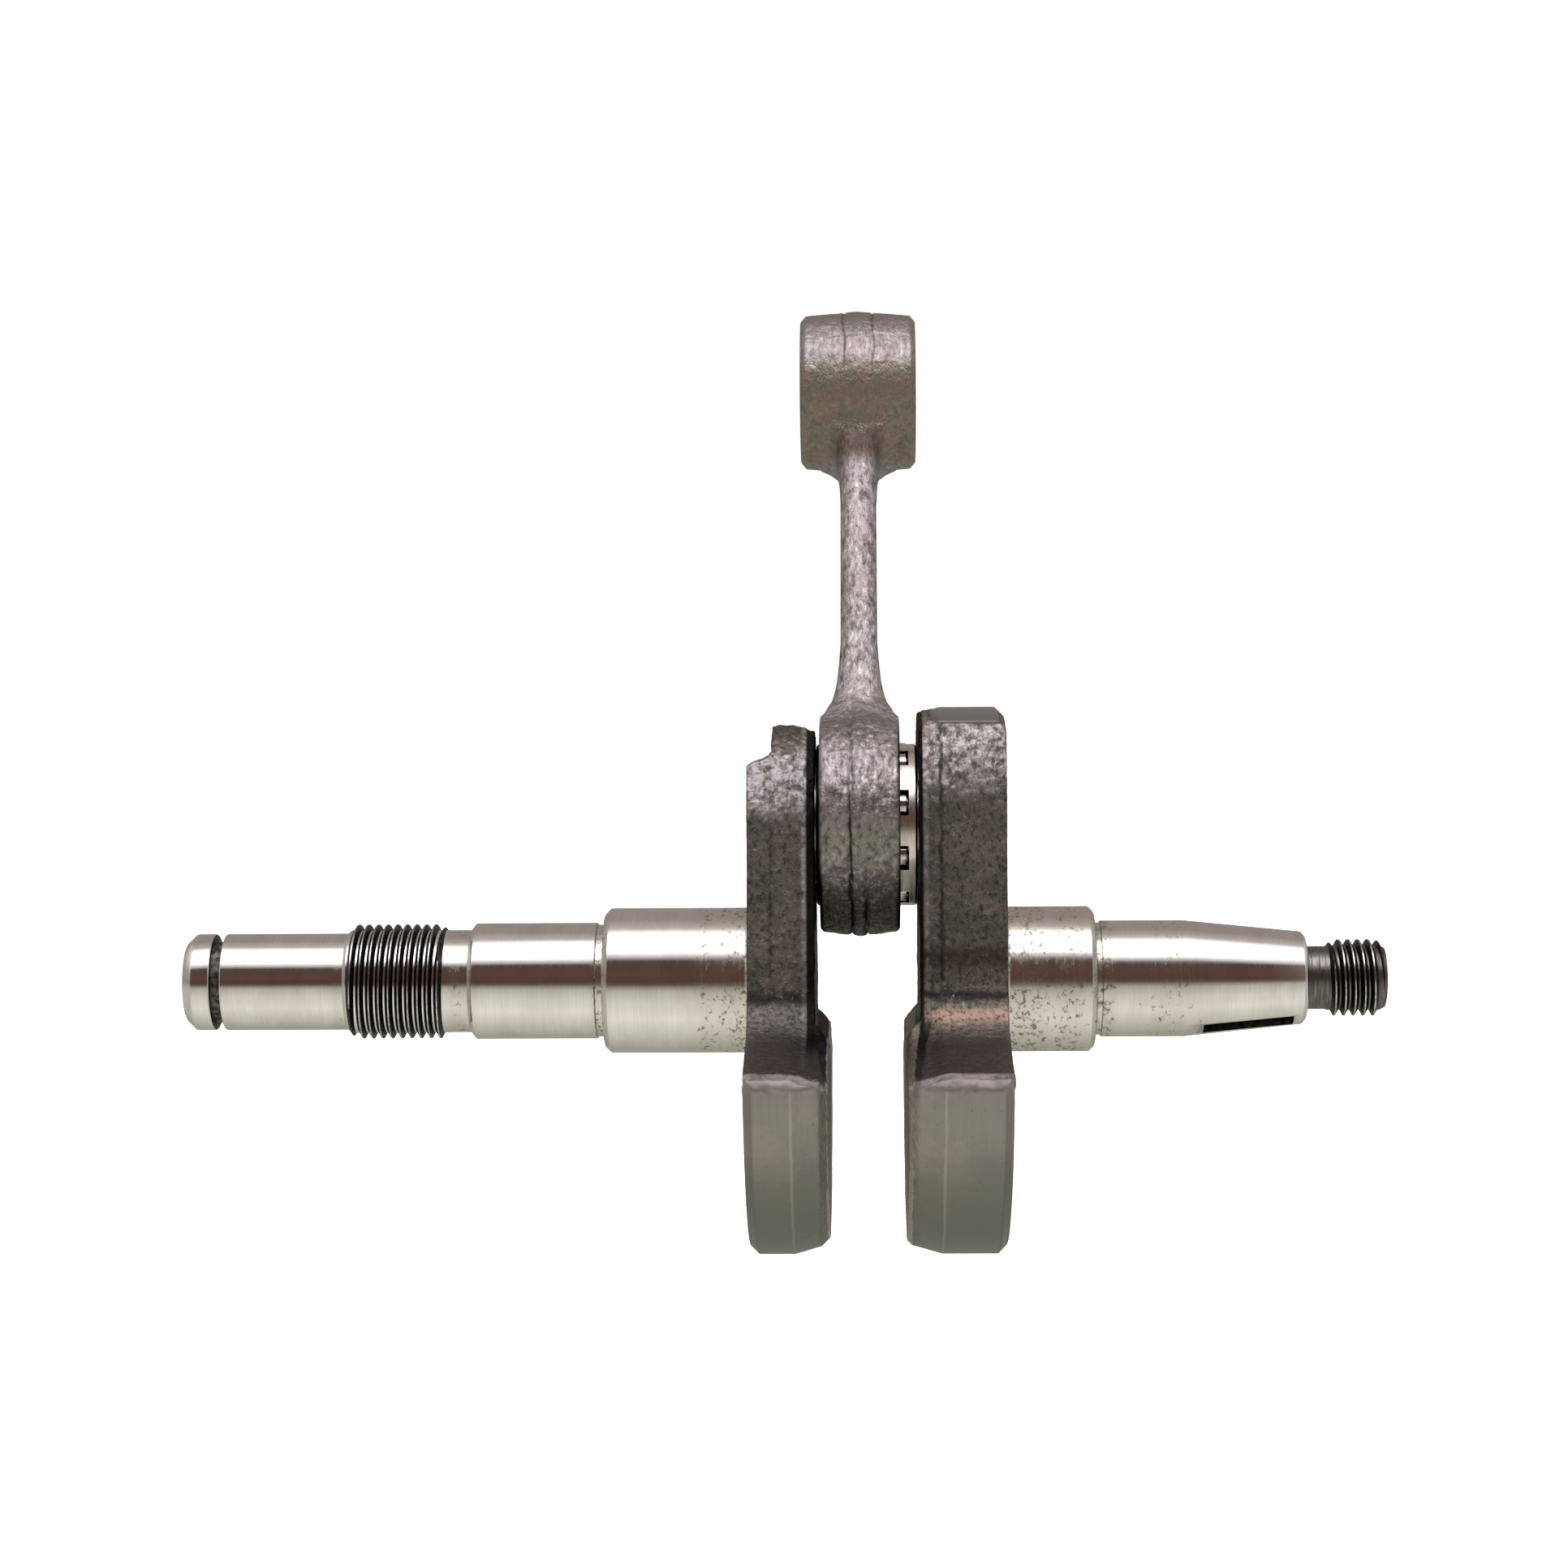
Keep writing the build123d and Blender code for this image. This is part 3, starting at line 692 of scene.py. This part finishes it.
def forged_web(name, side):
    """Dark forged skin, with a painted highlight high on the cheek and along its lip, and the turned rim."""
    material, tree, shader, point = new_material(name, (0.12, 0.11, 0.10), 0.45)
    x, _, z = separate(tree, point)
    out = times(tree, x, side)
    radius = axis_radius(tree, point)
    blotch = noise_value(tree, point, 0.30, 5.0, 0.6)
    grain = noise_value(tree, stretched(tree, point, (1.0, 1.0, 0.7)), 2.1, 6.0, 0.66)
    fine = noise_value(tree, point, 7.0, 3.0, 0.6)
    wander = noise_value(tree, point, 0.55, 4.0, 0.6)

    scale = web_scale(tree, side, z, blotch, grain, wander)
    cheek_highlight = web_cheek_highlight(tree, side, point, out, z, wander)
    # Painted highlight on the cheek and along its lip.
    scale = mixed(tree, cheek_highlight, scale, CHEEK_HIGHLIGHT_COLOUR[side])
    seam = web_seam(tree, side, out, z, blotch, wander)
    scale = mixed(tree, seam, scale, (0.025, 0.022, 0.02))
    # Painted shade: the cheek's inner face is near black, inboard of its inner edge.
    inside = curve_value(tree, out, INNER_EDGE[side] - 0.02, INNER_EDGE[side] - 0.22)
    inside = times(tree, inside, curve_value(tree, z, -6.8, -5.6))
    scale = mixed(tree, inside, scale, (0.014, 0.012, 0.011))

    satin = web_satin(tree, point, out, z, grain)
    pad, shadow_line = pad_and_shadow_line(tree, side, out, z, wander)
    # Painted light: the pad's cream.
    satin = mixed(tree, pad, satin, PAD_LIT_COLOUR[side])
    if side > 0:
        shade = times(tree, pad, curve_value(tree, z, -11.0, -6.0, 0.0, 0.7))
        satin = mixed(tree, shade, satin, (0.13, 0.11, 0.09))

    reach = plus(tree, radius, curve_value(tree, z, 8.0, 0.0), 0.5)
    turned = curve_value(tree, reach, WEB_RADIUS - 0.35, WEB_RADIUS - 0.1)
    bevel = curve_value(tree, radius, 23.0, 24.0)
    bevel = times(tree, curve_value(tree, z, -8.0, -9.0), bevel)
    colour = mixed(tree, largest(tree, [turned, bevel, pad]), scale, satin)
    horn = near(tree, z, HORN_HEIGHT + 0.3, 1.9)
    horn = times(tree, horn, curve_value(tree, radius, 26.0, 27.0))
    # Painted highlight along the horn's rounded edge, broken up by noise.
    wear_and_sheen = times(tree, horn, curve_value(tree, wander, 0.34, 0.58, 0.55, 1.0))
    colour = mixed(tree, wear_and_sheen, colour, (0.50, 0.44, 0.45))
    # Painted shadow: a dark line along the pad's edge.
    colour = mixed(tree, shadow_line, colour, (0.02, 0.018, 0.016))
    tree.links.new(colour, shader.inputs["Base Color"])

    rough = curve_value(tree, grain, 0.3, 0.7, 0.36, 0.56)
    rough = plus(tree, rough, cheek_highlight, -0.10)
    mix = add(tree, "ShaderNodeMix", {0: turned, 2: rough, 3: 0.33}, data_type="FLOAT")
    rough = plus(tree, mix.outputs[0], horn, 0.48)
    tree.links.new(rough, shader.inputs["Roughness"])

    soft = curve_value(tree, turned, 0.0, 1.0, 1.0, 0.10)
    bump(tree, shader, times(tree, plus(tree, grain, fine, 0.5), soft), 0.6, 0.24)
    return material


def rod_crease_shade(tree, x, z, point, grain):
    """Masks of the painted shade in the big end's creases and fine cracking, and in the small end's two creases.
    """
    across = minus(tree, x, PIN_CENTRE.x)
    bent = wobbled(tree, across, noise_value(tree, point, 0.45, 4.0, 0.6), 1.4)
    left = near(tree, bent, LEFT_CREASE, 0.26)
    left = times(tree, left, curve_value(tree, z, PIN_HEIGHT + 7.5, PIN_HEIGHT - 1.0, 0.25, 0.95))
    right = near(tree, bent, RIGHT_CREASE, 0.24)
    right = times(tree, right, curve_value(tree, z, PIN_HEIGHT - 5.0, PIN_HEIGHT - 9.0))
    crack_shade = near(tree, grain, 0.5, 0.03)
    low_down = curve_value(tree, z, PIN_HEIGHT - 1.5, PIN_HEIGHT - 6.5, 0.1, 0.9)
    crack_shade = times(tree, crack_shade, low_down)
    on_big_end = curve_value(tree, z, PIN_HEIGHT + 11.5, PIN_HEIGHT + 9.5)
    creases = times(tree, largest(tree, [left, right, crack_shade]), on_big_end)
    fold_shade = near(tree, math_node(tree, "ABSOLUTE", bent), SMALL_END_CREASE, 0.22)
    fold_shade = times(tree, fold_shade, curve_value(tree, z, SMALL_END.z + 0.5, SMALL_END.z + 3.0))
    return creases, times(tree, fold_shade, 0.7)


def forged_rod(name):
    """Warm grey forged skin with coarse grain; olive and brown painted reflection bands on the big end; painted
    shade at the neck, on the underside and in the creases.
    """
    material, tree, shader, point = new_material(name, (0.26, 0.24, 0.23), 0.4)
    x, _, z = separate(tree, point)
    inputs = {0: point, 1: tuple(ROD_AXIS)}
    along = add(tree, "ShaderNodeVectorMath", inputs, operation="DOT_PRODUCT")
    inputs = {0: tuple(ROD_AXIS * -0.55), "Scale": along.outputs["Value"]}
    drawn = add(tree, "ShaderNodeVectorMath", inputs, operation="SCALE")
    inputs = {0: point, 1: drawn.outputs[0]}
    point = add(tree, "ShaderNodeVectorMath", inputs, operation="ADD").outputs[0]
    blotch = noise_value(tree, point, 0.22, 4.0, 0.6)
    grain = noise_value(tree, point, 1.9, 6.0, 0.65)
    fine = noise_value(tree, point, 6.0, 3.0, 0.6)

    eye = SMALL_END.z
    above_eye = curve_value(tree, z, eye + 1.2, eye + 3.4, 0.0, 0.35)
    below_eye = curve_value(tree, z, eye - 7.5, eye - 9.0)
    rough_skin = largest(tree, [above_eye, below_eye])
    flare = near(tree, z, PIN_HEIGHT + 12.0, 3.5)
    strength = curve_value(tree, rough_skin, 0.0, 1.0, 0.35, 1.0)
    strength = plus(tree, strength, flare, -0.5)

    patchy = curve_value(tree, blotch, 0.35, 0.68)
    skin = mixed(tree, patchy, (0.37, 0.325, 0.345), (0.295, 0.26, 0.25))
    patches = curve_value(tree, noise_value(tree, point, 0.4, 3.0), 0.42, 0.58)
    patches = mixed(tree, patches, (0.25, 0.235, 0.185), (0.31, 0.24, 0.185))
    dull = times(tree, curve_value(tree, rough_skin, 0.5, 0.0), 0.85)
    skin = mixed(tree, dull, skin, patches)
    # Painted reflection bands on the big end, by height: olive just below the pin and brown just above it.
    olive = times(tree, near(tree, z, PIN_HEIGHT - 2.0, 4.2), 0.9)
    skin = mixed(tree, olive, skin, (0.36, 0.355, 0.30))
    brown = times(tree, near(tree, z, PIN_HEIGHT + 2.8, 2.6), 0.45)
    skin = mixed(tree, brown, skin, (0.16, 0.13, 0.12))
    dark = times(tree, curve_value(tree, grain, 0.46, 0.66, 0.0, 0.8), strength)
    skin = mixed(tree, dark, skin, (0.085, 0.072, 0.064))
    light = times(tree, curve_value(tree, grain, 0.45, 0.30, 0.0, 0.8), strength)
    skin = mixed(tree, light, skin, (0.58, 0.515, 0.55))
    # Painted shade under the small eye, at the top of the blade.
    neck = near(tree, z, eye - 6.6, 3.4)
    neck = times(tree, neck, near(tree, minus(tree, x, PIN_CENTRE.x), 0.0, 4.0))
    skin = mixed(tree, times(tree, neck, 1.1, clamp=True), skin, (0.085, 0.066, 0.058))
    # Painted shade: the underside of the big end is darkened.
    underside_shade = curve_value(tree, z, PIN_HEIGHT - 4.0, PIN_HEIGHT - 8.5, 0.0, 0.5)
    skin = mixed(tree, underside_shade, skin, (0.075, 0.072, 0.06))
    creases, fold_shade = rod_crease_shade(tree, x, z, point, grain)
    # Painted shade in the big end's creases and cracking, and in the small end's two creases.
    skin = mixed(tree, creases, skin, (0.012, 0.011, 0.01))
    skin = mixed(tree, fold_shade, skin, (0.07, 0.058, 0.06))
    tree.links.new(skin, shader.inputs["Base Color"])
    tree.links.new(curve_value(tree, grain, 0.3, 0.7, 0.30, 0.48), shader.inputs["Roughness"])
    bump(tree, shader, plus(tree, grain, fine, 0.5), 0.6, 0.26)
    return material


def satin_steel(name, light, dark, roughness):
    """Lapped or rolled bright steel with fine rings."""
    material, tree, shader, point = new_material(name, light, roughness)
    rings = noise_value(tree, stretched(tree, point, (5.0, 0.4, 0.4)), 1.0, 4.0, 0.6)
    colour = mixed(tree, curve_value(tree, rings, 0.35, 0.68), light, dark)
    tree.links.new(colour, shader.inputs["Base Color"])
    rough = curve_value(tree, rings, 0.3, 0.7, roughness * 0.7, roughness * 1.3)
    tree.links.new(rough, shader.inputs["Roughness"])
    return material


def cage_steel(name):
    """Rolled bright steel, with painted shade, near black, inside the windows and near the clutch-side web."""
    material = satin_steel(name, (0.76, 0.70, 0.67), (0.66, 0.60, 0.56), 0.24)
    tree = material.node_tree
    shader = tree.nodes["Principled BSDF"]
    place = add(tree, "ShaderNodeTexCoord").outputs["Object"]
    inputs = {0: place, 1: (0, 0, -PIN_HEIGHT * MM)}
    offset = add(tree, "ShaderNodeVectorMath", inputs, operation="ADD")
    radius = length_of(tree, stretched(tree, offset.outputs[0], (0, 1 / MM, 1 / MM)))
    x, _, _ = separate(tree, place)
    # Painted shade inside the windows and beside the clutch-side web.
    inside = curve_value(tree, radius, 8.32, 8.27)
    beside = curve_value(tree, x, -4.4 * MM, -4.7 * MM)
    steel = shader.inputs["Base Color"].links[0].from_socket
    colour = mixed(tree, largest(tree, [inside, beside]), steel, (0.008, 0.007, 0.007))
    tree.links.new(colour, shader.inputs["Base Color"])
    return material


# ---------------------------------------------------------------- studio


def studio_world():
    """Softbox overhead, dark card in front, cream table below, seen only in reflections.

    A band is its angle above the horizon in front, in degrees, with its colour.
    """
    bands = [
        (-180, (0.34, 0.34, 0.29)), (-135, (0.42, 0.43, 0.37)), (-100, (0.66, 0.65, 0.57)),
        (-62, (0.96, 0.92, 0.85)), (-35, (0.82, 0.80, 0.73)), (-14, (0.58, 0.55, 0.48)),
        (-4, (0.13, 0.10, 0.08)), (0, (0.09, 0.06, 0.048)), (12, (0.135, 0.066, 0.048)),
        (35, (0.09, 0.062, 0.055)), (44, (1.0, 0.96, 1.0)), (52, (1.5, 1.47, 1.48)),
        (86, (1.45, 1.42, 1.40)), (94, (0.62, 0.55, 0.54)), (116, (0.38, 0.33, 0.30)),
        (180, (0.32, 0.29, 0.27)),
    ]
    world = bpy.data.worlds.new("studio")
    world.use_nodes = True
    tree = world.node_tree
    tree.nodes.clear()
    direction = add(tree, "ShaderNodeTexCoord").outputs["Generated"]
    x, y, z = separate(tree, direction)
    front = times(tree, y, -1.0)
    angle = math_node(tree, "ARCTAN2", z, front)
    turn = plus(tree, 0.5, angle, 1 / (2 * pi))
    wheel = colour_ramp(tree, turn, [((a + 180) / 360, c) for a, c in bands])
    height = plus(tree, 0.5, z, 0.5)
    dome = [
        (0.0, (0.55, 0.53, 0.48)), (0.42, (0.62, 0.60, 0.55)), (0.5, (0.34, 0.31, 0.29)),
        (0.62, (0.42, 0.39, 0.37)), (0.8, (0.95, 0.93, 0.92)), (1.0, (1.3, 1.28, 1.26)),
    ]
    ends = colour_ramp(tree, height, dome)
    sideways = curve_value(tree, math_node(tree, "ABSOLUTE", x), 0.45, 0.9)
    light = mixed(tree, sideways, wheel, ends)
    seen = add(tree, "ShaderNodeLightPath").outputs["Is Camera Ray"]
    light = mixed(tree, seen, light, (1.0, 1.0, 1.0))
    background = add(tree, "ShaderNodeBackground", {"Color": light, "Strength": 1.0})
    output = add(tree, "ShaderNodeOutputWorld", {"Surface": background.outputs[0]})
    output.is_active_output = True
    bpy.context.scene.world = world


def colour_ramp(tree, value, stops):
    """The colour at a value between 0 and 1, from (place, colour) stops."""
    node = add(tree, "ShaderNodeValToRGB", {"Fac": value})
    marks = node.color_ramp.elements
    while len(marks) < len(stops):
        marks.new(0.5)
    for mark, (place, colour) in zip(marks, stops):
        mark.position = place
        mark.color = (*colour, 1)
    return node.outputs["Color"]


FLOOR_HEIGHT = -50.0
FLOOR_REACH = 4000.0


def studio_floor():
    """A plain pale floor, below the lowest reach of the swinging rod."""
    signs = [(-1, -1), (1, -1), (1, 1), (-1, 1)]
    corners = [(FLOOR_REACH * a, FLOOR_REACH * b, FLOOR_HEIGHT) for a, b in signs]
    floor = make_piece("floor", corners, [(0, 1, 2, 3)])
    material, _, shader, _ = new_material("pale_floor", (0.93, 0.93, 0.925), 0.8, 0.0)
    shader.inputs["Emission Color"].default_value = (1, 1, 1, 1)
    shader.inputs["Emission Strength"].default_value = 1.0
    floor.data.materials.append(material)
    floor.visible_glossy = False


def studio_light():
    """A large soft lamp overhead and in front."""
    data = bpy.data.lights.new("soft_lamp", "AREA")
    data.shape, data.size, data.size_y, data.energy = "RECTANGLE", 0.9, 0.5, 3.0
    lamp = bpy.data.objects.new("soft_lamp", data)
    lamp.location = (0, -0.35, 0.75)
    lamp.rotation_euler = (-lamp.location).to_track_quat("-Z", "Y").to_euler()
    bpy.context.scene.collection.objects.link(lamp)


CAMERA_DISTANCE = 350.0
AIM = Vector((-8.53, 0, 20.28))
ROLL = -0.32
LENS, SENSOR = 77.6, 36.0


def photo_camera():
    """A level camera in front of the crank centre, turned towards the aim."""
    data = bpy.data.cameras.new("camera")
    data.sensor_width, data.lens, data.clip_start = SENSOR, LENS, 0.01
    camera = bpy.data.objects.new("camera", data)
    eye = Vector((0, -CAMERA_DISTANCE, AIM.z))
    facing = (AIM - eye).to_track_quat("-Z", "Y").to_matrix().to_4x4()
    camera.matrix_world = facing
    camera.rotation_euler.rotate_axis("Z", radians(ROLL))
    camera.location = eye * MM
    bpy.context.scene.collection.objects.link(camera)
    bpy.context.scene.camera = camera


# ---------------------------------------------------------------- building


CLUTCH_HALF = ("crankshaft", "clutch_side_crank_half", "crank_steel")
FLYWHEEL_HALF = ("crankshaft", "flywheel_side_crank_half", "crank_steel")
THREAD_SMOOTH_ANGLE = 25


def build_clutch_shaft():
    steel = ground_steel("ground_steel_clutch", [
        (-12.1, 8.5, 1.0), (-16.5, 2.5, 0.9), (-27.4, 1.8, 1.0),
        (-42.0, 2.2, 0.8), (-54.3, 1.2, 0.7),
    ])
    # Painted shade in the ring groove.
    recess = recess_shade("recess_shade", (0.20, 0.18, 0.165))
    shaft = make_piece("clutch_shaft", *lathe(-1, clutch_shaft_stations()))
    finish_piece(shaft, *CLUTCH_HALF, steel, recess)
    mark_ring(shaft, RING_GROOVE[0] - 0.05, RING_GROOVE[1] + 0.05, SPROCKET_RADIUS - 0.1, 1)
    shaded_oily = shaded_oily_thread("shaded_oily_thread_clutch", CLUTCH_THREAD["crest"])
    ridge = make_piece("clutch_thread", *thread_ridge(-1, **CLUTCH_THREAD), THREAD_SMOOTH_ANGLE)
    finish_piece(ridge, *CLUTCH_HALF, shaded_oily)


def build_flywheel_shaft():
    steel = ground_steel("ground_steel_flywheel", [
        (15.3, 6.0, 1.1), (17.5, 2.6, 1.0), (20.5, 5.0, 0.9),
        (24.0, 2.8, 1.1), (31.0, 9.0, 0.75),
    ])
    keyway = recess_shade("keyway_shadow", (0.03, 0.027, 0.025))
    neck = satin_steel("neck_steel", (0.20, 0.185, 0.175), (0.09, 0.083, 0.078), 0.35)
    shaft = make_piece("flywheel_shaft", *lathe(1, flywheel_shaft_stations()))
    cut_keyway(shaft)
    finish_piece(shaft, *FLYWHEEL_HALF, steel, keyway, neck)
    mark_keyway(shaft, 1)
    mark_ring(shaft, TAPER_END, 53.0, NECK_RADIUS + 0.35, 2)
    shaded_oily = shaded_oily_thread("shaded_oily_thread_nut", NUT_THREAD["crest"])
    ridge = make_piece("nut_thread", *thread_ridge(1, **NUT_THREAD), THREAD_SMOOTH_ANGLE)
    finish_piece(ridge, *FLYWHEEL_HALF, shaded_oily)


def build_web(side, name, half):
    web = remeshed(half[1], web_side=side)
    web.name = f"{name}_web"
    carve(web, web_skin(side))
    web.data.shade_smooth()
    finish_piece(web, *half, forged_web(f"forged_{name}_web", side))


def build_rod():
    honed = satin_steel("honed_bore", (0.62, 0.60, 0.58), (0.5, 0.48, 0.46), 0.22)
    rod = remeshed("connecting_rod")
    rod.name = "rod_forging"
    carve(rod, rod_skin)
    rod.data.shade_smooth()
    skin = forged_rod("forged_rod")
    finish_piece(rod, "connecting_rod", "connecting_rod", "rod_steel", skin, honed)
    mark_bores(rod, 1)


def dress_node(node, material):
    """Gives a CAD node that is shown as it is its material."""
    target = frame["nodes"][node]
    target.data.materials.clear()
    target.data.materials.append(material)


def build_object():
    build_clutch_shaft()
    build_flywheel_shaft()
    build_web(-1, "clutch", CLUTCH_HALF)
    build_web(1, "flywheel", FLYWHEEL_HALF)
    build_rod()
    pin = satin_steel("pin_steel", (0.72, 0.70, 0.68), (0.6, 0.57, 0.54), 0.2)
    dress_node("crankpin", pin)
    dress_node("big_end_needle_cage", cage_steel("cage_steel"))
    roller = satin_steel("roller_steel", (0.62, 0.61, 0.60), (0.5, 0.49, 0.48), 0.1)
    for number in range(1, 10):
        dress_node(f"needle_roller_{number}", roller)


photo_camera()
studio_world()
studio_light()
studio_floor()
build_object()
bpy.context.scene.view_settings.view_transform = "Standard"
